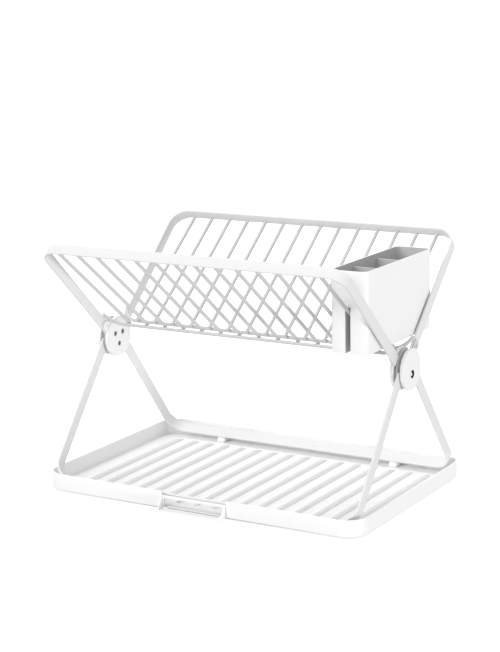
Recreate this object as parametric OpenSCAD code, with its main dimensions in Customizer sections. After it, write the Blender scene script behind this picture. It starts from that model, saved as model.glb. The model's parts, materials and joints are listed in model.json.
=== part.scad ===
// Folding dish drying rack: two slatted racks in a V, two leg frames, hinge
// discs, a ribbed drip tray with a pull-off spout, and a lift-out cutlery caddy.
// Millimetres. +Z up, +X to the right, the front faces -Y. The origin is at the
// centre of the base, on the surface that the tray's feet stand on.

/* [Tray] */
// Length of the tray
tray_l = 430; // [350:1:520]
// Depth of the tray, front to back
tray_w = 289; // [240:1:420]
// Height of the tray's walls above its underside
tray_h = 22.2; // [20:0.1:30]
// Outer radius of the tray's corners
tray_r = 26; // [14:1:30]
// Thickness of the tray's walls
tray_wall = 2.2; // [1.6:0.1:3]
// Thickness of the tray's floor
tray_floor = 2.2; // [1.6:0.1:3]
// Spacing of the floor's ribs
rib_pitch = 24; // [16:1:40]
// Width of a rib at its foot
rib_w = 8; // [4:0.5:10]
// Height of a rib above the floor
rib_h = 5.2; // [2:0.1:5.6]

/* [Feet] */
// Radius of a foot
foot_r = 9; // [6:0.5:12]
// Height of a foot
foot_h = 3; // [2:0.5:6]

/* [Spout] */
// Width of the spout where it meets the tray
spout_w = 88; // [60:1:100]
// How far the spout stands out from the tray
spout_reach = 11; // [8:0.1:20]
// Thickness of the spout's walls
spout_wall = 1.8; // [1.4:0.1:3]
// Height of the spout's lip above the tray's underside
lip_h = 2.5; // [2.2:0.1:8]

/* [Frames] */
// Lean of the racks' arms from upright, degrees
rack_lean = 46.6; // [40:0.1:48]
// Lean of the legs from upright, degrees
leg_lean = 38; // [36:0.1:40]
// Distance from the hinge to the outside of a top rail
rack_reach = 204.2; // [160:0.1:230]
// Gap between a bottom bar and the tray's wall
bar_gap = 3.35; // [3:0.05:6]
// Height of a bottom bar's lower edge above the tray's underside
bar_rise = 8.6; // [7:0.1:12]
// Gap between a leg and the tray's end wall
leg_side_gap = 6.1; // [4:0.1:12]
// Width of the flat strip
strip_w = 14; // [10:0.5:14]
// Thickness of the flat strip
strip_t = 2.4; // [2:0.1:3]
// How far an arm's middle passes outside the hinge
arm_offset = 4.1; // [3:0.1:6]
// How far a leg's middle passes outside the hinge
leg_offset = 11.5; // [11:0.1:12.5]
// Radius of the frames' corners
bend_r = 24; // [14:1:30]

/* [Wires] */
// Spacing of the slats, which is rounded so that a whole number of them fits
slat_spacing = 26.8; // [24:0.1:40]
// Distance from an arm's inner face to the middle of the end slat
slat_margin = 26.1; // [25:0.1:40]
// Radius of a slat and of a bottom rod
wire_r = 2.25; // [1.5:0.05:2.5]
// Distance from the hinge to a bottom rod, along the arm
rod_reach = 22; // [20:0.1:24]
// How far a slat's top end stands outside the hinge
slat_offset = 8.4; // [4:0.1:8.8]
// Radius of the bend at each end of a bottom rod
rod_bend_r = 24; // [12:1:24]

/* [Hinge discs] */
// Radius of an inner disc
inner_disc_r = 26; // [22:0.5:26]
// Radius of an outer disc
outer_disc_r = 24.6; // [22:0.1:27]
// Thickness of a disc
disc_t = 3.8; // [3:0.1:5]
// Bevel round the edge of a disc
disc_bevel = 0.8; // [0.3:0.1:1.2]
// Radius of a pivot pin
pin_r = 3; // [2:0.1:3.2]

/* [Caddy] */
// Length of the caddy, front to back
caddy_l = 176; // [150:1:190]
// Width of the caddy, over its two sides
caddy_w = 47.6; // [38:0.1:48]
// Height of the caddy
caddy_h = 95; // [70:1:110]
// Radius of the caddy's corners
caddy_r = 10; // [4:0.5:14]
// Thickness of the caddy's walls
caddy_wall = 2; // [1.4:0.1:2.6]
// Height of the caddy's underside above the hinge
caddy_rise = 32.5; // [32:0.5:50]

/* [Hidden] */
$fn = 64;
touch = 0.01;

// Thickness of the plate that carries the hinge's ring
ring_t = 1;

// Clearances
run_gap = 0.06;
move_gap = 0.3;
pad_gap = 0.05;

// Levels of the hinge, measured outwards along X from the middle of the rack
stack_t = move_gap + ring_t + move_gap + strip_t;
arm_out = tray_l / 2 - tray_wall - leg_side_gap - stack_t;
arm_in = arm_out - strip_t;
ring_in = arm_out + move_gap;
ring_out = ring_in + ring_t;
leg_in = ring_out + move_gap;
leg_out = leg_in + strip_t;
inner_back = arm_in - move_gap;
inner_face = inner_back - disc_t;
outer_back = leg_out + 1.5;
outer_face = outer_back + disc_t;

// Leg frames, tied to the tray that their bottom bars lie in
bar_y = tray_w / 2 - tray_wall - bar_gap;
leg_reach = (bar_y - (leg_offset + strip_w / 2) * cos(leg_lean)) / sin(leg_lean);
hinge_h = foot_h + bar_rise + leg_reach * cos(leg_lean)
    - (leg_offset - strip_w / 2) * sin(leg_lean);

// Racks and wires
slat_last = arm_in - slat_margin;
slat_count = round(2 * slat_last / slat_spacing) + 1;
slat_pitch = 2 * slat_last / (slat_count - 1);
rail_inner = rack_reach - strip_t;
rod_lift = wire_r + strip_w / 2 - arm_offset;
slat_foot = rod_lift + 2 * wire_r;
slat_tail = 2.5;
slat_turn = atan((slat_foot + slat_offset) / (rail_inner - rod_reach));
slat_length = (rail_inner - rod_reach) / cos(slat_turn);
rod_rise = 80;
rod_seat = 0.6;
rod_turn_x = arm_in + rod_seat - rod_bend_r * sin(rod_rise);
front_arm_start = 23;
back_arm_start = 27;
front_rivet_reach = 28.5;
back_rivet_reach = 35.5;
rivet_r = 1.7;
rivet_head_r = 2.8;
rivet_head_t = 0.9;

// Hinge parts
column_r = 13.9;
ring_hole_r = column_r + 0.4;
ring_r = 23.6;
lug_r = 13.5;
lug_relief = 0.02;
leg_a_start = 3.5;
leg_b_start = 13.9;
leg_rivet_reach = 18.5;
ear_w = 12;
ear_step = 1.4;
ear_length = 36;
ear_root = 15;
tab_root = 2;
tab_end = 6;
brace_reach = 19;
brace_angle = 165;
boss_r = 3.2;
hub_r = 6.6;
pin_end_gap = 0.4;
pin_seat = 2.2;
screw_circle_r = 9.3;
screw_angles = [150, 30, 270];
screw_r = 1.4;
screw_head_r = 3;
screw_head_t = 1.2;
screw_sink = 1.6;
screw_end = leg_out - 0.4;
stud_y = 2;
stud_z = -6;
stud_r = 1.5;
stud_head_r = 3.9;
stud_recess_r = 4.9;
stud_recess = 1.2;
stud_back = outer_back + 0.8;

// Tray
floor_z = foot_h + tray_floor;
rim_z = foot_h + tray_h;
rib_count = 2 * floor((tray_l / 2 - tray_r - rib_w) / rib_pitch);
rib_end_gap = 24.5;
rib_end = tray_w / 2 - rib_end_gap;
rib_side = 1.2;
notch_w = spout_w;
notch_rise = 17.3;
notch_z = foot_h + notch_rise;
drain_inset = 8;
drain_w = spout_w - drain_inset;
drain_z = floor_z;
drain_rise = 14;
drain_top = foot_h + drain_rise;
foot_inset = [29, 20.5];
foot_x = tray_l / 2 - foot_inset[0];
foot_y = tray_w / 2 - foot_inset[1];
foot_stud_r = 3;
tab_x = 94;
tab_w = 19;
tab_t = 1.8;
tab_reach = 1.3;
cradle_x = 126;
cradle_w = 15;
cradle_lead = 2;

// Spout
spout_corner_r = 5;
spout_z = foot_h + 0.2;
cheek_drop = 4.2;
cheek_top = rim_z - cheek_drop;
tongue_w = drain_w - drain_inset;
tongue_t = 1.4;
tongue_z = drain_z + 0.4;
tongue_reach = 5.5;
plate_t = 1.5;
spout_back = -tray_w / 2 - move_gap;
spout_front = -tray_w / 2 - spout_reach;
lip_z = foot_h + lip_h;

// Caddy
caddy_x = slat_last;
caddy_z = hinge_h + caddy_rise;
divider_y = caddy_l / 6;
divider_drop = 6;
slat_slot = 2 * wire_r + 1.9;
fin_wall = 1.4;

slat_names = [for (side = ["front", "back"]) for (i = [1 : slat_count])
    str(side, "_slat_", i < 10 ? "0" : "", i)];

// ---- Planes and shared shapes ----

// Puts a shape on the right, the left, or both ends of the rack.
module on_end(end) {
    mirror([end < 0 ? 1 : 0, 0, 0]) children();
}

// Mirrors a front shape to the back.
module on_side(side) {
    mirror([0, side > 0 ? 1 : 0, 0]) children();
}

// A rack's plane: x along the rack, y up the arm from the hinge, z to the rack's outside.
module rack_plane(side) {
    on_side(side) translate([0, 0, hinge_h]) rotate([90 + rack_lean, 0, 0]) children();
}

// A leg frame's plane: x along the rack, y down the leg from the hinge, z to the inside.
module leg_plane(side) {
    on_side(side) translate([0, 0, hinge_h]) rotate([270 - leg_lean, 0, 0]) children();
}

// A cylinder along X between two levels, at a place measured from the hinge.
module cross_rod(r, x0, x1, y = 0, z = 0) {
    translate([x0, y, hinge_h + z]) rotate([0, 90, 0]) cylinder(r = r, h = x1 - x0);
}

module rounded_rect(l, w, r) {
    square([l - 2 * r, w], center = true);
    square([l, w - 2 * r], center = true);
    for (x = [-1, 1])
        for (y = [-1, 1])
            translate([x * (l / 2 - r), y * (w / 2 - r)]) circle(r);
}

// The end of a U: a flat slab from y0 up to y1 with its two far corners rounded.
module u_slab(half, y0, y1, r) {
    translate([-half, y0]) square([2 * half, y1 - r - y0]);
    translate([-(half - r), y0]) square([2 * (half - r), y1 - y0]);
    for (x = [-1, 1])
        translate([x * (half - r), y1 - r]) circle(r);
}

// A U bent the easy way from flat strip. The strip's width lies along z.
module u_strip(half, y0, y1, z0) {
    translate([0, 0, z0]) linear_extrude(strip_w)
        difference() {
            u_slab(half, y0, y1, bend_r);
            u_slab(half - strip_t, y0 - 1, y1 - strip_t, bend_r - strip_t);
        }
}

// ---- Tray ----

module tray_rib(x) {
    translate([x, rib_end, floor_z - touch]) rotate([90, 0, 0])
        linear_extrude(2 * rib_end)
            polygon([
                [-rib_w / 2, 0],
                [rib_w / 2, 0],
                [rib_w / 2 - rib_side, rib_h],
                [rib_side - rib_w / 2, rib_h]]);
}

// Lowest edge of a bottom bar's outer face, as seen from the end.
bar_low = [leg_reach * sin(leg_lean) + (leg_offset - strip_w / 2) * cos(leg_lean),
    hinge_h - leg_reach * cos(leg_lean) + (leg_offset - strip_w / 2) * sin(leg_lean)];

// A block on the floor whose sloping top carries the bottom bar.
module cradle(x) {
    edge = tray_w / 2 - tray_wall;
    slope = tan(leg_lean);
    drop = move_gap / cos(leg_lean);
    y0 = bar_low[0] - cradle_lead;
    translate([x - cradle_w / 2, 0, 0]) rotate([90, 0, 90])
        linear_extrude(cradle_w)
            polygon([
                [y0, floor_z - touch],
                [edge + touch, floor_z - touch],
                [edge + touch, bar_low[1] - drop + slope * (edge - bar_low[0])],
                [y0, bar_low[1] - drop - cradle_lead * slope]]);
}

// A tab on the rim that stands over the edge of the bottom bar.
module tab(x) {
    edge = tray_w / 2 - tray_wall;
    translate([x - tab_w / 2, edge - tab_reach, rim_z - tab_t])
        cube([tab_w, tab_reach + touch, tab_t]);
}

module tray() {
    color("white") difference() {
        union() {
            difference() {
                translate([0, 0, foot_h])
                    linear_extrude(tray_h) rounded_rect(tray_l, tray_w, tray_r);
                translate([0, 0, floor_z])
                    linear_extrude(tray_h)
                        rounded_rect(tray_l - 2 * tray_wall, tray_w - 2 * tray_wall,
                            tray_r - tray_wall);
            }
            for (i = [0 : rib_count - 1])
                tray_rib((i - (rib_count - 1) / 2) * rib_pitch);
            for (side = [-1, 1])
                for (end = [-1, 1])
                    on_side(-side) {
                        cradle(end * cradle_x);
                        tab(end * tab_x);
                    }
        }
        translate([-notch_w / 2, -tray_w / 2 - 1, notch_z])
            cube([notch_w, tray_wall + 2, tray_h]);
        translate([-drain_w / 2, -tray_w / 2 - 1, drain_z])
            cube([drain_w, tray_wall + 2, drain_top - drain_z]);
        for (x = [-1, 1])
            for (y = [-1, 1])
                translate([x * foot_x, y * foot_y, foot_h - 1])
                    cylinder(r = foot_stud_r + pad_gap, h = 1 + tray_floor / 2);
    }
}

module tray_feet() {
    color("whitesmoke")
        for (x = [-1, 1])
            for (y = [-1, 1])
                translate([x * foot_x, y * foot_y, 0]) {
                    cylinder(r1 = foot_r - 0.8, r2 = foot_r, h = foot_h);
                    translate([0, 0, foot_h - touch])
                        cylinder(r = foot_stud_r, h = tray_floor / 2);
                }
}

module spout_plan() {
    half = spout_w / 2;
    r = spout_corner_r;
    translate([-half, spout_front + r])
        square([spout_w, spout_back - spout_front - r]);
    translate([-half + r, spout_front])
        square([spout_w - 2 * r, spout_back - spout_front]);
    for (x = [-1, 1])
        translate([x * (half - r), spout_front + r]) circle(r);
}

// A floor, two sloping cheeks, and a tongue that pushes into the tray's drain slot.
module spout() {
    plate_top = tongue_z + tongue_t;
    color("white") {
        translate([0, 0, spout_z]) linear_extrude(spout_wall) spout_plan();
        for (end = [-1, 1])
            on_end(end) intersection() {
                translate([0, 0, spout_z]) linear_extrude(cheek_top - spout_z)
                    difference() {
                        spout_plan();
                        translate([-spout_w, spout_front - 1])
                            square([1.5 * spout_w - spout_wall, spout_reach + 2]);
                    }
                rotate([90, 0, 90]) linear_extrude(spout_w)
                    polygon([
                        [spout_back, spout_z],
                        [spout_back, cheek_top],
                        [spout_front, lip_z],
                        [spout_front, spout_z]]);
            }
        translate([touch - spout_w / 2, spout_back - plate_t, spout_z])
            cube([spout_w - 2 * touch, plate_t, plate_top - spout_z]);
        translate([-tongue_w / 2, spout_back - plate_t, tongue_z])
            cube([tongue_w, plate_t + move_gap + tongue_reach, tongue_t]);
    }
}

// ---- Racks ----

module arm_hole(side, reach) {
    rack_plane(side)
        for (end = [-1, 1])
            translate([end * arm_in - 5, reach, arm_offset]) rotate([0, 90, 0])
                cylinder(r = rivet_r + pad_gap, h = 10);
}

module rack_frame(side, start, rivet_reach) {
    color("white") difference() {
        rack_plane(side)
            u_strip(arm_out, start, rack_reach, arm_offset - strip_w / 2);
        arm_hole(side, rivet_reach);
    }
}

// A bottom rod: straight below the slats, with each end bent up on to its arm's edge.
module rod(side) {
    color("white") rack_plane(side) translate([0, 0, -rod_lift]) {
        translate([-rod_turn_x - touch, rod_reach, 0]) rotate([0, 90, 0])
            cylinder(r = wire_r, h = 2 * (rod_turn_x + touch));
        for (end = [-1, 1])
            on_end(end)
                translate([rod_turn_x, rod_reach + rod_bend_r, 0]) rotate([0, 0, -90])
                    rotate_extrude(angle = rod_rise)
                        translate([rod_bend_r, 0]) circle(wire_r);
    }
}

module slat(side, i) {
    x = (i - (slat_count + 1) / 2) * slat_pitch;
    color("white") rack_plane(side)
        intersection() {
            translate([x, rod_reach, -slat_foot]) rotate([slat_turn - 90, 0, 0])
                translate([0, 0, -slat_tail])
                    cylinder(r = wire_r, h = slat_length + slat_tail + 1);
            translate([x - 5, 0, -strip_w - slat_foot])
                cube([10, rail_inner, 2 * strip_w + 2 * slat_foot]);
        }
}

// ---- Leg frames ----

module leg_hole(side) {
    leg_plane(side)
        for (end = [-1, 1])
            translate([end * leg_in - 5, leg_rivet_reach, -leg_offset]) rotate([0, 90, 0])
                cylinder(r = rivet_r + pad_gap, h = 12);
}

// The front legs belong to the back rack and the outer discs.
module front_leg_frame() {
    color("white") difference() {
        leg_plane(-1) u_strip(leg_out, leg_b_start, leg_reach, -leg_offset - strip_w / 2);
        leg_hole(-1);
    }
}

// The back legs belong to the front rack. Each one ends in a round lug on the hinge.
module back_leg_frame() {
    color("white") difference() {
        union() {
            leg_plane(1) u_strip(leg_out, leg_a_start, leg_reach, -leg_offset - strip_w / 2);
            for (end = [-1, 1])
                on_end(end) cross_rod(lug_r, leg_in + lug_relief, leg_out - lug_relief);
        }
        for (end = [-1, 1])
            on_end(end) {
                cross_rod(pin_r + run_gap, leg_in - 1, leg_out + 1);
                screw_places() cross_rod(screw_r + pad_gap, leg_in - 1, leg_out + 1);
            }
    }
}

// ---- Hinge ----

// Turns a screw at the hinge to each of its places round the pin.
module screw_places() {
    for (a = screw_angles)
        translate([0, screw_circle_r * cos(a), screw_circle_r * sin(a)]) children();
}

// A disc along X from its flat back to its bevelled face, which may point either way.
module disc(r, back, face) {
    t = abs(face - back);
    translate([back, 0, hinge_h]) rotate([0, face > back ? 90 : -90, 0]) {
        cylinder(r = r, h = t - disc_bevel);
        translate([0, 0, t - disc_bevel - touch])
            cylinder(r1 = r, r2 = r - disc_bevel, h = disc_bevel + touch);
    }
}

module inner_disc(end) {
    head_x = inner_face + ear_step;
    color("whitesmoke") on_end(end) difference() {
        union() {
            difference() {
                disc(inner_disc_r, inner_back, inner_face);
                rack_plane(-1)
                    translate([inner_face - 1, front_arm_start, arm_offset - strip_w / 2])
                        cube([1 + ear_step, ear_length, strip_w]);
            }
            cross_rod(column_r, inner_back - touch, leg_in);
            rack_plane(-1)
                translate([head_x, ear_root, arm_offset - ear_w / 2])
                    cube([inner_back - head_x, ear_length - ear_root, ear_w]);
            rack_plane(-1)
                translate([inner_back - touch, front_rivet_reach, arm_offset])
                    rotate([0, 90, 0]) cylinder(r = ear_w / 2 - 1, h = move_gap + touch);
        }
        cross_rod(pin_r + run_gap, inner_face + pin_seat - pin_end_gap, leg_in + 1);
        screw_places() {
            cross_rod(screw_r + pad_gap, inner_face - 1, leg_in + 1);
            cross_rod(screw_head_r + move_gap, inner_face - 1, inner_face + screw_sink);
        }
        rack_plane(-1)
            translate([inner_face - 1, front_rivet_reach, arm_offset]) rotate([0, 90, 0])
                cylinder(r = rivet_r + pad_gap, h = disc_t + 3);
    }
}

// The plate that ties the back rack's arm to the front leg, clear of the column.
module ring_plate(end) {
    color("lightgray") on_end(end) difference() {
        union() {
            cross_rod(ring_r, ring_in, ring_out);
            rack_plane(1)
                translate([ring_in, ring_hole_r + tab_root, arm_offset - ear_w / 2])
                    cube([ring_t, back_rivet_reach + tab_end - ring_hole_r - tab_root, ear_w]);
            rack_plane(1)
                translate([arm_out, back_rivet_reach, arm_offset]) rotate([0, 90, 0])
                    cylinder(r = ear_w / 2 - 1, h = move_gap + touch);
            leg_plane(-1)
                translate([ring_out - touch, leg_rivet_reach, -leg_offset]) rotate([0, 90, 0])
                    cylinder(r = boss_r, h = move_gap + touch);
        }
        cross_rod(ring_hole_r, ring_in - 1, ring_out + 1);
        rack_plane(1)
            translate([arm_out - 1, back_rivet_reach, arm_offset]) rotate([0, 90, 0])
                cylinder(r = rivet_r + pad_gap, h = 4);
        leg_plane(-1)
            translate([ring_in - 1, leg_rivet_reach, -leg_offset]) rotate([0, 90, 0])
                cylinder(r = rivet_r + pad_gap, h = 4);
    }
}

module outer_disc(end) {
    color("whitesmoke") on_end(end) difference() {
        union() {
            disc(outer_disc_r, outer_back, outer_face);
            cross_rod(hub_r, leg_out + move_gap, outer_back + touch);
            cross_rod(boss_r, ring_out, outer_back + touch,
                brace_reach * cos(brace_angle), brace_reach * sin(brace_angle));
            leg_plane(-1)
                translate([leg_out, leg_rivet_reach, -leg_offset]) rotate([0, 90, 0])
                    cylinder(r = boss_r, h = outer_back - leg_out + touch);
        }
        cross_rod(pin_r + run_gap, leg_out - 1, outer_face - pin_seat + pin_end_gap);
        cross_rod(stud_r + pad_gap, stud_back - 0.2, outer_face, stud_y, stud_z);
        cross_rod(stud_recess_r, outer_face - stud_recess, outer_face + 1, stud_y, stud_z);
        leg_plane(-1)
            translate([leg_out - 1, leg_rivet_reach, -leg_offset]) rotate([0, 90, 0])
                cylinder(r = rivet_r + pad_gap, h = outer_back - leg_out + 2.5);
    }
}

module pivot_pin(end) {
    color("silver") on_end(end)
        cross_rod(pin_r, inner_face + pin_seat, outer_face - pin_seat);
}

// A rivet sunk in each outer disc.
module disc_rivets() {
    color("silver")
        for (end = [-1, 1])
            on_end(end) {
                cross_rod(stud_r, stud_back, outer_face - stud_recess, stud_y, stud_z);
                cross_rod(stud_head_r, outer_face - stud_recess, outer_face - move_gap,
                    stud_y, stud_z);
            }
}

module disc_screws() {
    color("silver")
        for (end = [-1, 1])
            on_end(end) screw_places() {
                cross_rod(screw_r, inner_face + screw_sink - touch, screw_end);
                cross_rod(screw_head_r, inner_face + screw_sink - screw_head_t,
                    inner_face + screw_sink);
            }
}

module arm_rivet(side, reach, head_x, tail_x) {
    rack_plane(side) {
        translate([head_x, reach, arm_offset]) rotate([0, 90, 0])
            cylinder(r = rivet_r, h = tail_x - head_x);
        translate([head_x, reach, arm_offset]) rotate([0, -90, 0])
            cylinder(r1 = rivet_head_r, r2 = rivet_head_r - 1, h = rivet_head_t);
    }
}

module front_arm_rivets() {
    color("silver")
        for (end = [-1, 1])
            on_end(end) arm_rivet(-1, front_rivet_reach, inner_face + ear_step, arm_out);
}

module back_arm_rivets() {
    color("silver")
        for (end = [-1, 1])
            on_end(end) arm_rivet(1, back_rivet_reach, arm_in, ring_out);
}

module front_leg_rivets() {
    color("silver")
        for (end = [-1, 1])
            on_end(end) leg_plane(-1)
                translate([ring_in, leg_rivet_reach, -leg_offset]) rotate([0, 90, 0])
                    cylinder(r = rivet_r, h = outer_back + 1 - ring_in);
}

// ---- Caddy ----

// Height of a slat's middle at a distance y in front of the hinge.
slat_slope = tan(90 - rack_lean - slat_turn);
slat_foot_y = rod_reach * sin(rack_lean) - slat_foot * cos(rack_lean);
slat_foot_z = hinge_h + rod_reach * cos(rack_lean) + slat_foot * sin(rack_lean);
function slat_z(y) = slat_foot_z + (y - slat_foot_y) * slat_slope;

// The space below a line that runs above the end slat by a clearance.
module slat_wedge(side, lift, w, y_far) {
    rise = lift * norm([1, slat_slope]);
    y_near = slat_foot_y + (caddy_z - 1 - rise - slat_foot_z) / slat_slope;
    on_side(side)
        translate([slat_last - w / 2, 0, 0]) mirror([0, 1, 0]) rotate([90, 0, 90]) linear_extrude(w)
            polygon([[y_near, caddy_z - 1], [y_far, caddy_z - 1], [y_far, slat_z(y_far) + rise]]);
}

module caddy_outline(inset) {
    translate([caddy_x, 0])
        rounded_rect(caddy_w - 2 * inset, caddy_l - 2 * inset, caddy_r - inset);
}

module caddy() {
    lift = wire_r + move_gap;
    color("white") difference() {
        union() {
            difference() {
                translate([0, 0, caddy_z]) linear_extrude(caddy_h) caddy_outline(0);
                translate([0, 0, caddy_z + caddy_wall])
                    linear_extrude(caddy_h) caddy_outline(caddy_wall);
            }
            for (side = [-1, 1])
                translate([caddy_x - caddy_w / 2 + touch, side * divider_y - caddy_wall / 2,
                    caddy_z])
                    cube([caddy_w - 2 * touch, caddy_wall, caddy_h - divider_drop]);
            intersection() {
                translate([0, 0, caddy_z]) linear_extrude(caddy_h) caddy_outline(touch);
                union()
                    for (side = [-1, 1])
                        slat_wedge(side, lift + fin_wall, slat_slot + 2 * fin_wall, caddy_l / 2);
            }
        }
        for (side = [-1, 1])
            slat_wedge(side, lift, slat_slot, caddy_l / 2 + 2);
    }
}

// ---- Assembly ----

tray();
tray_feet();
spout();
caddy();
rack_frame(-1, front_arm_start, front_rivet_reach);  // front_rack_frame
rack_frame(1, back_arm_start, back_rivet_reach);  // back_rack_frame
rod(-1);  // front_rod
rod(1);  // back_rod
front_leg_frame();
back_leg_frame();
inner_disc(-1);  // inner_disc_left
inner_disc(1);  // inner_disc_right
outer_disc(-1);  // outer_disc_left
outer_disc(1);  // outer_disc_right
ring_plate(-1);  // ring_plate_left
ring_plate(1);  // ring_plate_right
pivot_pin(-1);  // pivot_pin_left
pivot_pin(1);  // pivot_pin_right
disc_screws();
disc_rivets();
front_arm_rivets();
back_arm_rivets();
front_leg_rivets();
for (i = [1 : slat_count]) {
    slat(-1, i);
    slat(1, i);
}
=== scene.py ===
"""A folding dish drying rack: drip tray, spout, crossed leg frames, slatted racks and a caddy."""
import json
import math

import bmesh
import bpy
from mathutils import Matrix, Vector


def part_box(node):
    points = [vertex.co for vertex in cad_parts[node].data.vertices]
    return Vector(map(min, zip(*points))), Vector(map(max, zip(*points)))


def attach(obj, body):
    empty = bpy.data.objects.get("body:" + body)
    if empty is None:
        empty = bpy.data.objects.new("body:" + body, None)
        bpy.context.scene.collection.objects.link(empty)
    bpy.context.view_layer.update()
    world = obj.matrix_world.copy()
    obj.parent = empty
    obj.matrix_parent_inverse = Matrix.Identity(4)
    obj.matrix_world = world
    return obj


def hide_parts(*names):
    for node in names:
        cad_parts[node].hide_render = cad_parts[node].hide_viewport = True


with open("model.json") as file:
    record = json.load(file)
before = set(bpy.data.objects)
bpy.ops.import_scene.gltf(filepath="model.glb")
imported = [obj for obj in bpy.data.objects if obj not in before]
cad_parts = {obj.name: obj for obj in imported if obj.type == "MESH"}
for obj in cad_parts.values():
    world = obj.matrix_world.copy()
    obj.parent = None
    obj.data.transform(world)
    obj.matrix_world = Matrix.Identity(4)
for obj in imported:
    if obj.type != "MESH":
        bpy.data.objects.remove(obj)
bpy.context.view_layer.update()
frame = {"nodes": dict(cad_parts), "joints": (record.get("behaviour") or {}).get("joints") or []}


# ---- Camera ----
# The rack is seen from its front right and a little above the tray, through a long lens
# that keeps its upright edges nearly parallel.
AZIMUTH = math.radians(30.36)
ELEVATION = math.radians(11.17)
ROLL = math.radians(-0.95)
DISTANCE = 2.1785
TARGET = Vector((-0.0032, 0, 0.2391))
LENS = 99.6
SHIFT_Y = -0.0497
away = Vector((math.sin(AZIMUTH) * math.cos(ELEVATION),
               -math.cos(AZIMUTH) * math.cos(ELEVATION),
               math.sin(ELEVATION)))
camera_data = bpy.data.cameras.new("camera")
camera_data.lens = LENS
camera_data.shift_y = SHIFT_Y
camera = bpy.data.objects.new("camera", camera_data)
bpy.context.scene.collection.objects.link(camera)
turn = away.to_track_quat("Z", "Y").to_matrix().to_4x4() @ Matrix.Rotation(ROLL, 4, "Z")
camera.matrix_world = Matrix.Translation(TARGET + DISTANCE * away) @ turn
bpy.context.scene.camera = camera


# ---- Drip tray ----
# One shallow moulding in white plastic with a satin skin. Sixteen ribs stand on its floor,
# a slot and a lowered notch in the front wall drain it, and the rack's bottom bars drop on
# to four small cradles and lie under four tabs.
MM = 0.001


class Sock:
    """A shader socket that Python's operators work on."""

    def __init__(self, tree, socket):
        self.tree = tree
        self.socket = socket

    def maths(self, operation, *values):
        return add_node(self.tree, "ShaderNodeMath", {"operation": operation},
                        dict(enumerate(values)))

    def __add__(self, other):
        return self.maths("ADD", self, other)

    def __radd__(self, other):
        return self.maths("ADD", other, self)

    def __sub__(self, other):
        return self.maths("SUBTRACT", self, other)

    def __rsub__(self, other):
        return self.maths("SUBTRACT", other, self)

    def __mul__(self, other):
        return self.maths("MULTIPLY", self, other)

    def __rmul__(self, other):
        return self.maths("MULTIPLY", other, self)


def add_node(tree, kind, settings=None, inputs=None, out=0):
    """Adds one node: its settings first, then its sockets' values or links."""
    node = tree.nodes.new(kind)
    for key, value in (settings or {}).items():
        setattr(node, key, value)
    for key, value in (inputs or {}).items():
        if isinstance(value, Sock):
            tree.links.new(value.socket, node.inputs[key])
        else:
            node.inputs[key].default_value = value
    return Sock(tree, node.outputs[out])


def noise(tree, place, scale, detail=2.0, rough=0.5):
    """A soft irregular pattern of about 1 / scale metres."""
    return add_node(tree, "ShaderNodeTexNoise", None,
                    {"Vector": place, "Scale": scale, "Detail": detail, "Roughness": rough})


CLOUD_SHARE = 0.7
SKIN_SHARE = 0.75
FLECK_SCALE = 0.35
WAVE_SCALE = 0.12
BUMP_STRENGTH = 0.35


def finish_material(name, tone, deep, rough, bump_scale, bump_depth, metal=0.0, spread=0.05,
                    cloud=30.0):
    """A painted, moulded or plated surface: cloudy colour, uneven gloss and a fine skin."""
    material = bpy.data.materials.new(name)
    material.use_nodes = True
    tree = material.node_tree
    shader = tree.nodes["Principled BSDF"]
    place = add_node(tree, "ShaderNodeTexCoord", out=3)
    clouds = noise(tree, place, cloud, 3.0)
    flecks = noise(tree, place, bump_scale * FLECK_SCALE)
    mask = clouds * CLOUD_SHARE + flecks * (1 - CLOUD_SHARE)
    colour = add_node(tree, "ShaderNodeMix", {"data_type": "RGBA"},
                      {0: mask, 6: (*deep, 1), 7: (*tone, 1)}, out=2)
    tree.links.new(colour.socket, shader.inputs["Base Color"])
    gloss = (mask - 0.5) * spread + rough
    tree.links.new(gloss.socket, shader.inputs["Roughness"])
    skin = noise(tree, place, bump_scale, 3.0, 0.6)
    wave = noise(tree, place, bump_scale * WAVE_SCALE, 1.0)
    height = skin * SKIN_SHARE + wave * (1 - SKIN_SHARE)
    bump = add_node(tree, "ShaderNodeBump", None,
                    {"Strength": BUMP_STRENGTH, "Distance": bump_depth, "Height": height})
    tree.links.new(bump.socket, shader.inputs["Normal"])
    shader.inputs["Metallic"].default_value = metal
    return material


def wear(piece, material):
    """Gives a piece or a CAD node one material."""
    piece.data.materials.clear()
    piece.data.materials.append(material)


def pick(piece, test, kind="FACE"):
    """In edit mode, selects what passes a test on its middle (and a face's normal)."""
    bpy.context.tool_settings.mesh_select_mode = tuple(k == kind for k in ("VERT", "EDGE", "FACE"))
    mesh = bmesh.from_edit_mesh(piece.data)
    for group in (mesh.verts, mesh.edges, mesh.faces):
        for item in group:
            item.select_set(False)
    chosen = {"VERT": mesh.verts, "EDGE": mesh.edges, "FACE": mesh.faces}[kind]
    for item in chosen:
        if kind == "FACE":
            hit = test(item.calc_center_median(), item.normal)
        elif kind == "EDGE":
            hit = test((item.verts[0].co + item.verts[1].co) / 2)
        else:
            hit = test(item.co)
        if hit:
            item.select_set(True)
    mesh.select_flush_mode()
    bmesh.update_edit_mesh(piece.data)


def faces_up(middle, normal):
    """Passes the faces on top of a piece."""
    return normal.z > 0.9


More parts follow.
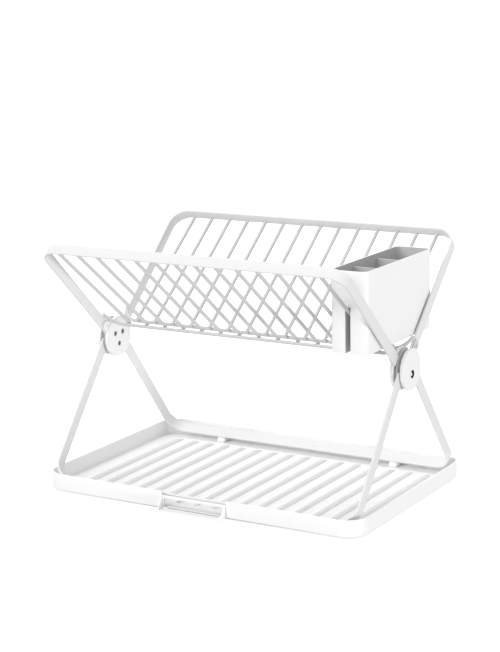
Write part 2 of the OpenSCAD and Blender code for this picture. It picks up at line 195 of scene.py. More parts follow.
def slab(name, length, width, radius, x, y, z, segments=12):
    """A flat rounded rectangle at a height, left in edit mode as one selected face."""
    bpy.ops.object.select_all(action="DESELECT")
    bpy.ops.mesh.primitive_plane_add(size=1, location=(0, 0, 0))
    piece = bpy.context.object
    piece.name = name
    piece.data.name = name
    piece.scale = (length, width, 1)
    bpy.ops.object.transform_apply(location=False, rotation=False, scale=True)
    piece.location = (x, y, z)
    bpy.ops.object.transform_apply(location=True, rotation=False, scale=False)
    bpy.ops.object.mode_set(mode="EDIT")
    bpy.ops.mesh.select_all(action="SELECT")
    if radius:
        bpy.ops.mesh.bevel(affect="VERTICES", offset=radius, segments=segments)
    pick(piece, lambda middle, normal: True)
    return piece


def pull(z):
    """Extrudes what is selected straight up, or down where z is negative."""
    bpy.ops.mesh.extrude_region_move(TRANSFORM_OT_translate={"value": (0, 0, z)})


def leave():
    """Ends editing with the faces pointing outwards."""
    bpy.ops.mesh.select_all(action="SELECT")
    bpy.ops.mesh.normals_make_consistent(inside=False)
    bpy.ops.object.mode_set(mode="OBJECT")


def block(name, low, high):
    """A closed box between two corners."""
    low, high = Vector(low), Vector(high)
    piece = slab(name, high.x - low.x, high.y - low.y, 0,
                 (low.x + high.x) / 2, (low.y + high.y) / 2, low.z)
    pull(high.z - low.z)
    leave()
    return piece


def apply_modifier(piece, kind, **settings):
    """Adds one modifier to a piece and applies it."""
    bpy.ops.object.select_all(action="DESELECT")
    piece.select_set(True)
    bpy.context.view_layer.objects.active = piece
    modifier = piece.modifiers.new(kind.lower(), kind)
    for key, value in settings.items():
        setattr(modifier, key, value)
    bpy.ops.object.modifier_apply(modifier=modifier.name)


def cut(piece, cutter, operation="DIFFERENCE"):
    """Takes one closed shape from another, or adds it, and clears it away."""
    apply_modifier(piece, "BOOLEAN", object=cutter, operation=operation, solver="EXACT")
    bpy.data.objects.remove(cutter)


SMOOTH_BELOW = math.radians(32)


def soften(piece, width, segments=3, angle=35):
    """Rounds every edge sharper than an angle and smooths what is left."""
    apply_modifier(piece, "BEVEL", width=width, segments=segments, limit_method="ANGLE",
                   angle_limit=math.radians(angle), harden_normals=False,
                   use_clamp_overlap=True)
    bpy.ops.object.shade_smooth_by_angle(angle=SMOOTH_BELOW)


def flip_over(piece, axis):
    """Mirrors a closed piece across the middle of the rack along one axis."""
    piece.data.transform(Matrix.Scale(-1, 4, axis))
    piece.data.flip_normals()


def join(name, pieces):
    """Joins finished pieces into the first one and names it."""
    bpy.ops.object.select_all(action="DESELECT")
    for piece in pieces:
        piece.select_set(True)
    bpy.context.view_layer.objects.active = pieces[0]
    if len(pieces) > 1:
        bpy.ops.object.join()
    pieces[0].name = name
    pieces[0].data.name = name
    return pieces[0]


def settle(piece, body, material, slot, *nodes):
    """Gives a finished piece its material, its body and the CAD nodes it stands for; slot is not
    used.
    """
    wear(piece, material)
    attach(piece, body)
    if nodes:
        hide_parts(*nodes)


white_moulding = finish_material("white_moulding", (0.93, 0.93, 0.925), (0.895, 0.895, 0.895),
                                 rough=0.34, bump_scale=900, bump_depth=0.08 * MM)
low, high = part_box("tray")
TRAY_WALL = 2.2 * MM
TRAY_RADIUS = 26 * MM
FLOOR = 2.2 * MM
EDGE_ROUND = 4 * MM
MOULD_ROUND = 0.8 * MM
FAR = 1
tray_l, tray_w, tray_h = high - low
rim = high.z
base = low.z
floor_top = base + FLOOR
inner_edge = tray_w / 2 - TRAY_WALL

tray = slab("tray_shell", tray_l, tray_w, TRAY_RADIUS, 0, 0, base, 20)
pull(tray_h)
pick(tray, lambda middle: middle.z < base + 0.1 * MM, "EDGE")
bpy.ops.mesh.bevel(affect="EDGES", offset=EDGE_ROUND, segments=6)
pick(tray, faces_up)
bpy.ops.mesh.inset(thickness=TRAY_WALL)
pull(FLOOR - tray_h)
leave()

# The notch and the drain slot go through the front wall only. FAR clears any piece.
NOTCH_HALF = 44 * MM
NOTCH_TOP = 20.3 * MM
DRAIN_HALF = 40 * MM
DRAIN_TOP = 17 * MM
through_y = -inner_edge + MM
cut(tray, block("notch", (-NOTCH_HALF, -tray_w, NOTCH_TOP), (NOTCH_HALF, through_y, FAR)))
cut(tray, block("drain", (-DRAIN_HALF, -tray_w, floor_top), (DRAIN_HALF, through_y, DRAIN_TOP)))
soften(tray, MOULD_ROUND)

# Each rib is narrower at its top, steep at its front end and sloped at its back end.
RIB_COUNT = 16
RIB_PITCH = 24 * MM
RIB_WIDTH = 8 * MM
RIB_HEIGHT = 5.2 * MM
RIB_TAPER = 0.7
RIB_ROUND = 2 * MM
RIB_FRONT_SLOPE = 1.5 * MM
RIB_BACK_SLOPE = 16 * MM
RIB_END_GAP = 24.5 * MM
SUNK = 0.5 * MM
rib_end = tray_w / 2 - RIB_END_GAP
rib = slab("rib", RIB_WIDTH, 2 * rib_end, 0, 0, 0, floor_top - SUNK)
pull(RIB_HEIGHT + SUNK)
pick(rib, faces_up)
bpy.ops.transform.resize(value=(RIB_TAPER, 1 - RIB_FRONT_SLOPE / rib_end, 1))
pick(rib, lambda place: place.y > 0 and place.z > floor_top + MM, "VERT")
bpy.ops.transform.translate(value=(0, -RIB_BACK_SLOPE, 0))
leave()
soften(rib, RIB_ROUND, 5)
ribs = []
for number in range(RIB_COUNT):
    copy = rib.copy()
    copy.data = rib.data.copy()
    copy.data.transform(Matrix.Translation(((number - (RIB_COUNT - 1) / 2) * RIB_PITCH, 0, 0)))
    bpy.context.scene.collection.objects.link(copy)
    ribs.append(copy)
bpy.data.objects.remove(rib)

# The cradles' tops follow the lean of the legs, and the tabs stand out over the bars.
LEG_LEAN = math.radians(38)
BAR_LOW = Vector((127.91, 11.6)) * MM
BAR_GAP = 0.3 * MM
CRADLE_X = 126 * MM
CRADLE_W = 12 * MM
CRADLE_LEAD = 2 * MM
CRADLE_DROP = 4 * MM
CRADLE_ROUND = 2.6 * MM
TAB_X = 94 * MM
TAB_W = 19 * MM
TAB_T = 1.8 * MM
TAB_REACH = 1.3 * MM
TAB_ROOT = 1.2 * MM
TAB_SET_DOWN = 0.05 * MM
TAB_ROUND = 0.4 * MM
fixtures = []
for side in (-1, 1):
    for end in (-1, 1):
        cradle = block("cradle",
                       (end * CRADLE_X - CRADLE_W / 2, BAR_LOW.x - CRADLE_LEAD, floor_top - SUNK),
                       (end * CRADLE_X + CRADLE_W / 2, inner_edge + SUNK, rim - CRADLE_DROP))
        for vertex in cradle.data.vertices:
            if vertex.co.z > floor_top:
                seat = BAR_LOW.y + math.tan(LEG_LEAN) * (vertex.co.y - BAR_LOW.x)
                vertex.co.z = seat - BAR_GAP / math.cos(LEG_LEAN)
        tab = block("tab", (end * TAB_X - TAB_W / 2, inner_edge - TAB_REACH, rim - TAB_T),
                    (end * TAB_X + TAB_W / 2, inner_edge + TAB_ROOT, rim - TAB_SET_DOWN))
        for part, rounding in ((cradle, CRADLE_ROUND), (tab, TAB_ROUND)):
            if side < 0:
                flip_over(part, (0, 1, 0))
            soften(part, rounding, 4)
            fixtures.append(part)
tray = join("tray_moulding", [tray] + ribs + fixtures)
settle(tray, "tray", white_moulding, "tray_plastic", "tray")


# ---- Feet ----
# Four soft round pads of pale rubber, each with a stud pressed into a socket under the
# tray. A shallow hollow in the underside makes each pad grip by its rim.
foot_rubber = finish_material("foot_rubber", (0.74, 0.74, 0.73), (0.68, 0.68, 0.67),
                              rough=0.62, bump_scale=1400, bump_depth=0.12 * MM)
FOOT_R = 9 * MM
FOOT_INSET_X = 29 * MM
FOOT_INSET_Y = 20.5 * MM
FOOT_RIM = 2.6 * MM
FOOT_HOLLOW = 0.5 * MM
FOOT_ROUND = 0.5 * MM
foot_x = tray_l / 2 - FOOT_INSET_X
foot_y = tray_w / 2 - FOOT_INSET_Y
feet = []
for x in (-foot_x, foot_x):
    for y in (-foot_y, foot_y):
        bpy.ops.object.select_all(action="DESELECT")
        bpy.ops.mesh.primitive_cylinder_add(vertices=48, radius=FOOT_R, depth=base,
                                            location=(x, y, base / 2))
        foot = bpy.context.object
        bpy.ops.object.transform_apply()
        bpy.ops.object.mode_set(mode="EDIT")
        pick(foot, lambda middle, normal: normal.z < -0.9)
        bpy.ops.mesh.inset(thickness=FOOT_RIM)
        bpy.ops.transform.translate(value=(0, 0, FOOT_HOLLOW))
        leave()
        soften(foot, FOOT_ROUND)
        feet.append(foot)
settle(join("tray_pads", feet), "tray", foot_rubber, "foot_rubber", "tray_feet")


# ---- Spout ----
# A small chute in the tray's plastic: a floor, two sloping cheeks, a low back plate, and
# a tongue that pushes into the drain slot.
low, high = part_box("spout")
SPOUT_HALF = 44 * MM
SPOUT_WALL = 1.8 * MM
SPOUT_GAP = 0.3 * MM
SPOUT_ROUND = 5 * MM
CHEEK_TOP = 21 * MM
LIP = 5.5 * MM
TONGUE_HALF = 36 * MM
TONGUE_Z = 5.6 * MM
TONGUE_T = 1.4 * MM
TONGUE_SKIN = 0.05 * MM
PLATE_T = 1.5 * MM
PLATE_INSET = 0.2 * MM
PLATE_LIFT = 0.1 * MM
CHEEK_EDGE = 0.45 * MM
PLATE_EDGE = 0.3 * MM
front_y = low.y
back_y = -tray_w / 2 - SPOUT_GAP
shell = slab("spout_shell", 2 * SPOUT_HALF, back_y - front_y, 0, 0, (front_y + back_y) / 2, low.z)
pick(shell, lambda middle: middle.y < back_y - MM, "VERT")
bpy.ops.mesh.bevel(affect="VERTICES", offset=SPOUT_ROUND, segments=8)
pick(shell, lambda middle, normal: True)
pull(CHEEK_TOP - low.z)
leave()
cut(shell, block("channel", (-SPOUT_HALF + SPOUT_WALL, front_y - MM, low.z + SPOUT_WALL),
                 (SPOUT_HALF - SPOUT_WALL, back_y + MM, FAR)))
slope = block("slope", (-FAR, front_y - MM, LIP), (FAR, back_y, FAR))
cheek_rise = (CHEEK_TOP - LIP) / (back_y - front_y)
for vertex in slope.data.vertices:
    if vertex.co.z < FAR / 2:
        vertex.co.z = LIP + cheek_rise * (vertex.co.y - front_y)
cut(shell, slope)
soften(shell, CHEEK_EDGE)
plate = block("plate", (-SPOUT_HALF + PLATE_INSET, back_y - PLATE_T, low.z + PLATE_LIFT),
              (SPOUT_HALF - PLATE_INSET, back_y, TONGUE_Z + TONGUE_T))
soften(plate, PLATE_EDGE, 2)
tongue = block("tongue", (-TONGUE_HALF, back_y - PLATE_T, TONGUE_Z + TONGUE_SKIN),
               (TONGUE_HALF, high.y, TONGUE_Z + TONGUE_T - TONGUE_SKIN))
soften(tongue, PLATE_EDGE, 2)
settle(join("spout_chute", [shell, plate, tongue]), "spout", white_moulding, "tray_plastic",
       "spout")


# ---- Rack and leg frames ----
# Four U shapes bent the easy way from flat steel strip with rolled edges, powder coated
# white. Each pair crosses at the hinges.
powder_coat = finish_material("powder_coat", (0.80, 0.80, 0.795), (0.765, 0.765, 0.765),
                              rough=0.42, bump_scale=1300, bump_depth=0.14 * MM)
HINGE_Z = [joint["pos_m"][2] for joint in frame["joints"] if joint["name"] == "front_rack_fold"][0]
STRIP_W = 14 * MM
STRIP_T = 2.4 * MM
STRIP_ROUND = 0.55 * MM
BEND_R = 24 * MM
RACK_LEAN = math.radians(46.6)
ARM_OFFSET = 4.1 * MM
LEG_OFFSET = 11.5 * MM


def lean_matrix(angle, side):
    """Turns a shape drawn flat (x along the rack, y away from the hinge) to its own lean."""
    turned = Matrix.Rotation(angle, 4, "X")
    mirrored = Matrix.Scale(-1, 4, (0, 1, 0)) if side > 0 else Matrix.Identity(4)
    return Matrix.Translation((0, 0, HINGE_Z)) @ mirrored @ turned


def strip_frame(name, half, start, far, middle, angle, side):
    """A U of strip: its outline is drawn flat, drawn out to its width and given its thickness."""
    piece = slab(name, 2 * half, far - start, 0, 0, (start + far) / 2, middle - STRIP_W / 2)
    pick(piece, lambda place: place.y > start + MM, "VERT")
    bpy.ops.mesh.bevel(affect="VERTICES", offset=BEND_R, segments=18)
    bpy.ops.mesh.select_all(action="SELECT")
    bpy.ops.mesh.delete(type="ONLY_FACE")
    pick(piece, lambda place: place.y < start + 0.01 * MM, "EDGE")
    bpy.ops.mesh.delete(type="EDGE")
    pick(piece, lambda place: True, "EDGE")
    pull(STRIP_W)
    leave()
    rail = [face for face in piece.data.polygons if face.center.y > far - 0.1 * MM]
    outward = sum(face.normal.y for face in rail)
    apply_modifier(piece, "SOLIDIFY", thickness=STRIP_T, offset=-1 if outward > 0 else 1,
                   use_even_offset=True)
    bpy.ops.object.mode_set(mode="EDIT")
    leave()
    soften(piece, STRIP_ROUND, 3, 50)
    piece.data.transform(lean_matrix(angle, side))
    if side > 0:
        piece.data.flip_normals()
    return piece


def drum(name, radius, x0, x1, y=0.0, z=0.0, vertices=64):
    """A cylinder along X between two levels, at a place measured from the hinge."""
    bpy.ops.object.select_all(action="DESELECT")
    bpy.ops.mesh.primitive_cylinder_add(
        vertices=vertices, radius=radius, depth=abs(x1 - x0), rotation=(0, math.pi / 2, 0),
        location=((x0 + x1) / 2, y, HINGE_Z + z))
    piece = bpy.context.object
    piece.name = name
    bpy.ops.object.transform_apply()
    return piece


arm_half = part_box("front_rack_frame")[1].x
leg_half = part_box("front_leg_frame")[1].x
RACK_REACH = 204.2 * MM
LEG_REACH = 202.013 * MM
FRONT_ARM_START = 23 * MM
BACK_ARM_START = 27 * MM
FRONT_LEG_START = 13.9 * MM
BACK_LEG_START = 3.5 * MM
RACK_TURN = math.pi / 2 + RACK_LEAN
LEG_TURN = 3 * math.pi / 2 - LEG_LEAN
front_frame = strip_frame("front_rack_strip", arm_half, FRONT_ARM_START, RACK_REACH, ARM_OFFSET,
                          RACK_TURN, -1)
settle(front_frame, "front_rack", powder_coat, "coated_strip", "front_rack_frame")
back_frame = strip_frame("back_rack_strip", arm_half, BACK_ARM_START, RACK_REACH, ARM_OFFSET,
                         RACK_TURN, 1)
settle(back_frame, "back_rack", powder_coat, "coated_strip", "back_rack_frame")
front_legs = strip_frame("front_leg_strip", leg_half, FRONT_LEG_START, LEG_REACH, -LEG_OFFSET,
                         LEG_TURN, -1)
settle(front_legs, "back_rack", powder_coat, "coated_strip", "front_leg_frame")

# The back legs end in round lugs on the pins.
LUG_R = 13.5 * MM
LUG_THINNER = 0.1 * MM
LUG_EDGE = 0.4 * MM
back_legs = strip_frame("back_leg_strip", leg_half, BACK_LEG_START, LEG_REACH, -LEG_OFFSET,
                        LEG_TURN, 1)

lugs = []
for end in (-1, 1):
    lug_x = end * (leg_half - STRIP_T / 2)
    lug_half = (STRIP_T - LUG_THINNER) / 2
    lug = drum("lug", LUG_R, lug_x - lug_half, lug_x + lug_half)
    soften(lug, LUG_EDGE, 2)
    lugs.append(lug)
settle(join("back_leg_strip", [back_legs] + lugs), "front_rack", powder_coat, "coated_strip",
       "back_leg_frame")


# ---- Slats and rods ----
# Round steel wire, powder coated: each slat is butt-welded inside the rail and lies on the
# bottom rod, and the rods bend up on to the arms.
# Painted shade: the wire's grey is darker than the strips' white coat, for the shade on the slats.
coated_wire = finish_material("coated_wire", (0.65, 0.65, 0.645), (0.61, 0.61, 0.61),
                              rough=0.4, bump_scale=1500, bump_depth=0.12 * MM)
for name, node in frame["nodes"].items():
    if "_slat_" in name or name.endswith("_rod"):
        wear(node, coated_wire)


# ---- Hinge discs ----
# Moulded white covers, one pair at each end. The inner one carries three sunk screws, a
# column round the pin and an ear riveted to the front arm; the outer one has a fine rim
# line and a deep recess for its rivet.
disc_moulding = finish_material("disc_moulding", (0.915, 0.915, 0.91), (0.875, 0.875, 0.875),
                                rough=0.4, bump_scale=1000, bump_depth=0.08 * MM)
INNER_BACK = 200.0 * MM
INNER_FACE = 196.2 * MM
INNER_R = 26 * MM
COLUMN_R = 13.9 * MM
COLUMN_END = 204.3 * MM
EAR_STEP = 1.4 * MM
EAR_HALF = 6 * MM
EAR_NEAR = 14 * MM
EAR_FAR = 30 * MM
SCREW_CIRCLE = 9.3 * MM
SCREW_SINK = 1.6 * MM
SCREW_RECESS = 3.3 * MM
OUTER_BACK = 208.2 * MM
OUTER_FACE = 212.0 * MM
OUTER_R = 24.6 * MM
RIM_MARGIN = 1.5 * MM
RIM_LINE_W = 0.35 * MM
RIM_LINE_DEPTH = 0.35 * MM
RIM_LINE_RISE = 0.3 * MM
HUB_R = 6.6 * MM
HUB_START = COLUMN_END + 2.7 * MM
STUD = Vector((2, -6)) * MM
STUD_RECESS = 4.9 * MM
STUD_DEPTH = 2.9 * MM
INNER_EDGE = 0.45 * MM
OUTER_EDGE = 0.3 * MM
SCREW_ANGLES = [math.radians(angle) for angle in (150, 30, 270)]
screw_places = [(SCREW_CIRCLE * math.cos(angle), SCREW_CIRCLE * math.sin(angle))
                for angle in SCREW_ANGLES]


def on_end(piece, end):
    """Swaps a piece made for the right end to the left one, where it belongs there."""
    if end < 0:
        flip_over(piece, (1, 0, 0))
    return piece


def inner_disc():
    """The cover that carries the screws, with its column and its ear."""
    disc = drum("inner_disc", INNER_R, INNER_FACE, INNER_BACK, vertices=96)
    ear = slab("ear", INNER_BACK - INNER_FACE - EAR_STEP, EAR_FAR - EAR_NEAR, 0,
               (INNER_BACK + INNER_FACE + EAR_STEP) / 2, (EAR_FAR + EAR_NEAR) / 2,
               ARM_OFFSET - EAR_HALF)
    pull(2 * EAR_HALF)
    leave()
    ear.data.transform(lean_matrix(RACK_TURN, -1))
    tip_place = lean_matrix(RACK_TURN, -1) @ Vector((0, EAR_FAR, ARM_OFFSET))
    tip = drum("tip", EAR_HALF, INNER_FACE + EAR_STEP, INNER_BACK)
    tip.data.transform(Matrix.Translation((0, tip_place.y, tip_place.z - HINGE_Z)))
    cut(disc, ear, "UNION")
    cut(disc, tip, "UNION")
    cut(disc, drum("column", COLUMN_R, INNER_BACK - MM, COLUMN_END), "UNION")
    for y, z in screw_places:
        cut(disc, drum("sink", SCREW_RECESS, INNER_FACE - MM, INNER_FACE + SCREW_SINK, y, z, 40))
    soften(disc, INNER_EDGE, 3, 40)
    return disc


def outer_disc():
    """The cover outside it, with its hub behind, its rim line and its recess."""
    disc = drum("outer_disc", OUTER_R, OUTER_BACK, OUTER_FACE, vertices=96)
    bpy.ops.object.mode_set(mode="EDIT")
    pick(disc, lambda middle, normal: normal.x > 0.9)
    bpy.ops.mesh.inset(thickness=RIM_MARGIN)
    bpy.ops.mesh.inset(thickness=RIM_LINE_W, depth=-RIM_LINE_DEPTH)
    bpy.ops.mesh.inset(thickness=RIM_LINE_W, depth=RIM_LINE_RISE)
    leave()
    cut(disc, drum("hub", HUB_R, HUB_START, OUTER_BACK + MM), "UNION")
    cut(disc, drum("sink", STUD_RECESS, OUTER_FACE - STUD_DEPTH, OUTER_FACE + MM,
                   STUD.x, STUD.y, 48))
    soften(disc, OUTER_EDGE, 3, 40)
    return disc


for end, side in ((-1, "left"), (1, "right")):
    settle(on_end(join("inner_cover_" + side, [inner_disc()]), end), "front_rack",
           disc_moulding, "disc_plastic", "inner_disc_" + side)
    settle(on_end(join("outer_cover_" + side, [outer_disc()]), end), "back_rack",
           disc_moulding, "disc_plastic", "outer_disc_" + side)


# ---- Ring plates ----
# Thin steel plates between the covers, each round a column, riveted to the back arm and
# to the front leg. Their mid grey is painted shade for the deep gap between the covers.
plate_painted_shade = finish_material("plate_painted_shade", (0.66, 0.66, 0.66), (0.6, 0.6, 0.6),
                              rough=0.45, bump_scale=1200, bump_depth=0.1 * MM)
for side in ("left", "right"):
    wear(frame["nodes"]["ring_plate_" + side], plate_painted_shade)


# ---- Screws and pins ----
# Zinc-plated steel: low button heads with a hexagon socket, sunk in the inner covers, and
# plain pivot pins that stay hidden.
zinc = finish_material("zinc", (0.30, 0.30, 0.31), (0.2, 0.2, 0.21), rough=0.38,
                       bump_scale=2600, bump_depth=0.05 * MM, metal=1.0, spread=0.2, cloud=400)
for side in ("left", "right"):
    wear(frame["nodes"]["pivot_pin_" + side], zinc)
HEAD_R = 2.9 * MM
HEAD_SET_DOWN = 0.4 * MM
HEAD_BURIED = 0.3 * MM
HEAD_ROUND = 0.3 * MM
SOCKET_R = 1.25 * MM
SOCKET_DEPTH = 1.3 * MM
screws = []
for end in (-1, 1):
    for y, z in screw_places:
        head = drum("head", HEAD_R, INNER_FACE + HEAD_SET_DOWN, INNER_FACE + SCREW_SINK + HEAD_BURIED,
                    y, z, 40)
        cut(head, drum("socket", SOCKET_R, INNER_FACE - MM, INNER_FACE + SOCKET_DEPTH, y, z, 6))
        soften(head, HEAD_ROUND, 3, 40)
        screws.append(on_end(head, end))
settle(join("cover_screws", screws), "front_rack", zinc, "plain_steel", "disc_screws")


# ---- Rivets ----
# Round-headed steel rivets, set before the strips were coated, so they are white too. The
# one in each outer cover sits off the middle of its recess, in a near-black cup that is
# painted shade for the deep recess round it.
RIVET_BURIED = 0.2 * MM
RIVET_CROWN = 0.66
RIVET_ROUND = 0.45
ARM_RIVET_R = 2.8 * MM
ARM_RIVET_H = 0.9 * MM
FRONT_ARM_RIVET = 28.5 * MM
BACK_ARM_RIVET = 35.5 * MM
LEG_RIVET_R = 1.7 * MM
LEG_RIVET_H = 0.3 * MM
FRONT_LEG_RIVET = 18.5 * MM
STUD_R = 3.1 * MM
STUD_H = 2.5 * MM
STUD_SHIFT = 1.3 * MM
CUP_FLOOR = 0.4 * MM
CUP_WALL = 0.7 * MM
CUP_BURIED = 0.2 * MM
CUP_DROP = 0.25 * MM
CUP_EDGE = 0.15 * MM
arm_in = arm_half - STRIP_T
stud_floor = OUTER_FACE - STUD_DEPTH


def rivet_head(radius, height, base_x, towards, y, z):
    """A low dome on a face: a disc whose outer face is drawn in and rounded over."""
    head = drum("rivet", radius, base_x - RIVET_BURIED * towards, base_x + height * towards, y, z, 40)
    bpy.ops.object.mode_set(mode="EDIT")
    pick(head, lambda middle, normal: normal.x * towards > 0.9)
    bpy.ops.transform.resize(value=(1, RIVET_CROWN, RIVET_CROWN))
    leave()
    soften(head, height * RIVET_ROUND, 4, 25)
    return head


def from_hinge(turned, side, reach, offset):
    """Where a place on an arm or a leg lies, measured from the hinge."""
    place = lean_matrix(turned, side) @ Vector((0, reach, offset))
    return place.y, place.z - HINGE_Z


front_arm_place = from_hinge(RACK_TURN, -1, FRONT_ARM_RIVET, ARM_OFFSET)
back_arm_place = from_hinge(RACK_TURN, 1, BACK_ARM_RIVET, ARM_OFFSET)
front_leg_place = from_hinge(LEG_TURN, -1, FRONT_LEG_RIVET, -LEG_OFFSET)
front_rivets = []
back_rivets = []
leg_rivets = []
disc_rivets = []
shade_cups = []
for end in (-1, 1):
    front_rivets.append(on_end(
        rivet_head(ARM_RIVET_R, ARM_RIVET_H, INNER_FACE + EAR_STEP, -1, *front_arm_place), end))
    back_rivets.append(on_end(
        rivet_head(ARM_RIVET_R, ARM_RIVET_H, arm_in, -1, *back_arm_place), end))
    leg_rivets.append(on_end(
        rivet_head(LEG_RIVET_R, LEG_RIVET_H, leg_half, 1, *front_leg_place), end))
    disc_rivets.append(on_end(
        rivet_head(STUD_R, STUD_H, stud_floor, 1, STUD.x - STUD_SHIFT, STUD.y), end))
    shade_cup = drum("shade_cup", STUD_RECESS + CUP_BURIED, stud_floor - CUP_BURIED, OUTER_FACE - CUP_DROP,
               STUD.x, STUD.y, 48)
    cut(shade_cup, drum("hollow", STUD_RECESS - CUP_WALL, stud_floor + CUP_FLOOR, OUTER_FACE + MM,
                  STUD.x, STUD.y, 48))
    shade_cup = on_end(shade_cup, end)
    soften(shade_cup, CUP_EDGE, 2)
    shade_cups.append(shade_cup)
settle(join("front_arm_rivet_heads", front_rivets), "front_rack", powder_coat, "coated_rivet",
       "front_arm_rivets")
settle(join("back_arm_rivet_heads", back_rivets), "back_rack", powder_coat, "coated_rivet",
       "back_arm_rivets")
settle(join("front_leg_rivet_heads", leg_rivets), "back_rack", powder_coat, "coated_rivet",
       "front_leg_rivets")
settle(join("cover_rivets", disc_rivets), "back_rack", disc_moulding, "coated_rivet",
       "disc_rivets")
# Painted shade: the near-black cups darken each outer cover's recess where shade falls.
recess_painted_shade = finish_material("recess_painted_shade", (0.025, 0.025, 0.025), (0.015, 0.015, 0.015),
                              rough=0.6, bump_scale=1500, bump_depth=0.08 * MM)
settle(join("cover_recess_shade", shade_cups), "back_rack", recess_painted_shade, "foot_rubber")


# ---- Caddy ----
# A tall three-compartment box in thin white plastic. Two open-bottomed slots in its end
# walls drop over the end slats, and a raised channel roofs each slat inside.
caddy_moulding = finish_material("caddy_moulding", (0.92, 0.92, 0.92), (0.885, 0.885, 0.885),
                                 rough=0.36, bump_scale=900, bump_depth=0.08 * MM)
# Painted shade: a darker copy of the caddy's white, for its shaded inside.
caddy_painted_shade = finish_material("caddy_painted_shade", (0.56, 0.56, 0.56), (0.5, 0.5, 0.5),
                               rough=0.5, bump_scale=900, bump_depth=0.08 * MM)
low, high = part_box("caddy")
CADDY_R = 10 * MM
CADDY_WALL = 2 * MM
CADDY_ROUND = 0.55 * MM
DIVIDER_DROP = 6 * MM
SLAT_R = 2.25 * MM
ROD_REACH = 22 * MM
SLAT_FOOT = 9.65 * MM
SLAT_TOP = 8.4 * MM
SLOT_HALF = 3.2 * MM
SLOT_LIFT = SLAT_R + 0.3 * MM
SLOT_OVERRUN = 3 * MM
FIN_WALL = 1.4 * MM
RIM_BAND = 0.7 * MM
INSIDE_DEPTH = 0.6 * CADDY_WALL
slat_turn = math.atan((SLAT_FOOT + SLAT_TOP) / (RACK_REACH - STRIP_T - ROD_REACH))
slat_slope = math.tan(math.pi / 2 - RACK_LEAN - slat_turn)
slat_y = ROD_REACH * math.sin(RACK_LEAN) - SLAT_FOOT * math.cos(RACK_LEAN)
slat_z = HINGE_Z + ROD_REACH * math.cos(RACK_LEAN) + SLAT_FOOT * math.sin(RACK_LEAN)
slat_x = (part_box("back_slat_14")[0].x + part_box("back_slat_14")[1].x) / 2
caddy_x = (low.x + high.x) / 2
caddy_l = high.y - low.y


def slat_wedge(side, lift, half, far):
    """The space under a line that runs above the end slat."""
    rise = lift * math.hypot(1, slat_slope)
    bottom = low.z - MM
    near = slat_y + (bottom - rise - slat_z) / slat_slope
    wedge = block("wedge", (slat_x - half, near, bottom), (slat_x + half, far, bottom + 10 * MM))
    for vertex in wedge.data.vertices:
        if vertex.co.z > bottom + 5 * MM:
            vertex.co.z = slat_z + (vertex.co.y - slat_y) * slat_slope + rise + 0.01 * MM
    if side < 0:
        flip_over(wedge, (0, 1, 0))
    return wedge


caddy = slab("caddy_shell", high.x - low.x, caddy_l, CADDY_R, caddy_x, 0, low.z)
pull(high.z - low.z)
pick(caddy, faces_up)
bpy.ops.mesh.inset(thickness=CADDY_WALL)
pull(CADDY_WALL - (high.z - low.z))
leave()

# Two dividers make three equal compartments.
divider_y = caddy_l / 6
for side in (-1, 1):
    divider = block("divider", (low.x + MM, side * divider_y - CADDY_WALL / 2, low.z + MM),
                    (high.x - MM, side * divider_y + CADDY_WALL / 2, high.z - DIVIDER_DROP))
    cut(caddy, divider, "UNION")

# Each end slat's channel is added first, and its slot is then cut through channel and wall.
for side in (-1, 1):
    fin = slat_wedge(side, SLOT_LIFT + FIN_WALL, SLOT_HALF + FIN_WALL, high.y - MM)
    cut(fin, block("under", (-FAR, -FAR, -FAR), (FAR, FAR, low.z + MM)))
    cut(caddy, fin, "UNION")
for side in (-1, 1):
    cut(caddy, slat_wedge(side, SLOT_LIFT, SLOT_HALF, high.y + SLOT_OVERRUN))
soften(caddy, CADDY_ROUND, 3, 40)
settle(join("cutlery_caddy", [caddy]), "caddy", caddy_moulding, "caddy_plastic", "caddy")

# The inside gets painted shade, a darker grey, on every face below the rim that lies deeper
# than the middle of the wall.
caddy.data.materials.append(caddy_painted_shade)
half_x = (high.x - low.x) / 2
for face in caddy.data.polygons:
    out_x = abs(face.center.x - caddy_x) - half_x + CADDY_R
    out_y = abs(face.center.y) - caddy_l / 2 + CADDY_R
    outline = math.hypot(max(out_x, 0), max(out_y, 0)) + min(max(out_x, out_y), 0) - CADDY_R
    if outline < -INSIDE_DEPTH and low.z + MM < face.center.z < high.z - RIM_BAND:
        face.material_index = 1


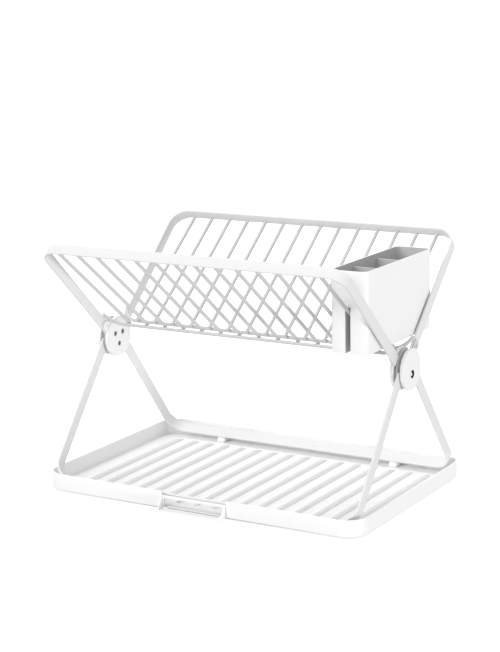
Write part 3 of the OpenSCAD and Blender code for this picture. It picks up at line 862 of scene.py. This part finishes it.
# ---- Floor and light ----
# A plain white floor that casts no shadow on the rack, an even pale surround that the camera
# sees as white, and three soft lights: from the front, low from the right and from above.
FLOOR_SIZE = 60
FLOOR_DROP = 0.2 * MM
FLOOR_GLOW = 0.45
floor_material = finish_material("studio_floor", (0.95, 0.95, 0.95), (0.94, 0.94, 0.94),
                                 rough=0.8, bump_scale=5, bump_depth=0.01 * MM)
bpy.ops.object.select_all(action="DESELECT")
bpy.ops.mesh.primitive_plane_add(size=FLOOR_SIZE, location=(0, 0, -FLOOR_DROP))
studio_floor = bpy.context.object
studio_floor.name = "studio_floor"
wear(studio_floor, floor_material)
floor_shader = floor_material.node_tree.nodes["Principled BSDF"]
floor_shader.inputs["Emission Color"].default_value = (1, 1, 1, 1)
floor_shader.inputs["Emission Strength"].default_value = FLOOR_GLOW
studio_floor.visible_diffuse = False
studio_floor.visible_glossy = False
studio_floor.visible_shadow = False

UPPER = 0.68
LOWER = 0.66
BLEND_BAND = 0.3
world = bpy.data.worlds.new("studio")
bpy.context.scene.world = world
world.use_nodes = True
sky = world.node_tree
background = sky.nodes["Background"]
background.inputs["Color"].default_value = (1, 1, 1, 1)
way = add_node(sky, "ShaderNodeTexCoord", out=0)
up = add_node(sky, "ShaderNodeSeparateXYZ", None, {0: way}, out=2)
glow = add_node(sky, "ShaderNodeMapRange", None,
                {0: up, 1: -BLEND_BAND, 2: BLEND_BAND, 3: LOWER, 4: UPPER})
seen = add_node(sky, "ShaderNodeLightPath")
tint = seen * (1.0 - glow) + glow
sky.links.new(tint.socket, background.inputs["Strength"])


def soft_sun(name, towards, power, spread):
    """A light from one direction, as wide as a soft box: spread is its width in degrees."""
    data = bpy.data.lights.new(name, "SUN")
    data.energy = power
    data.angle = math.radians(spread)
    lamp = bpy.data.objects.new(name, data)
    bpy.context.scene.collection.objects.link(lamp)
    lamp.matrix_world = Vector(towards).to_track_quat("Z", "Y").to_matrix().to_4x4()


soft_sun("front_light", towards=(-0.3, -0.8, 0.5), power=1.45, spread=36)
soft_sun("right_light", towards=(1, -0.12, -0.12), power=1.14, spread=16)
soft_sun("top_light", towards=(-0.2, 0.55, 1), power=1.1, spread=30)
bpy.context.scene.view_settings.view_transform = "Standard"
bpy.context.scene.view_settings.look = "None"
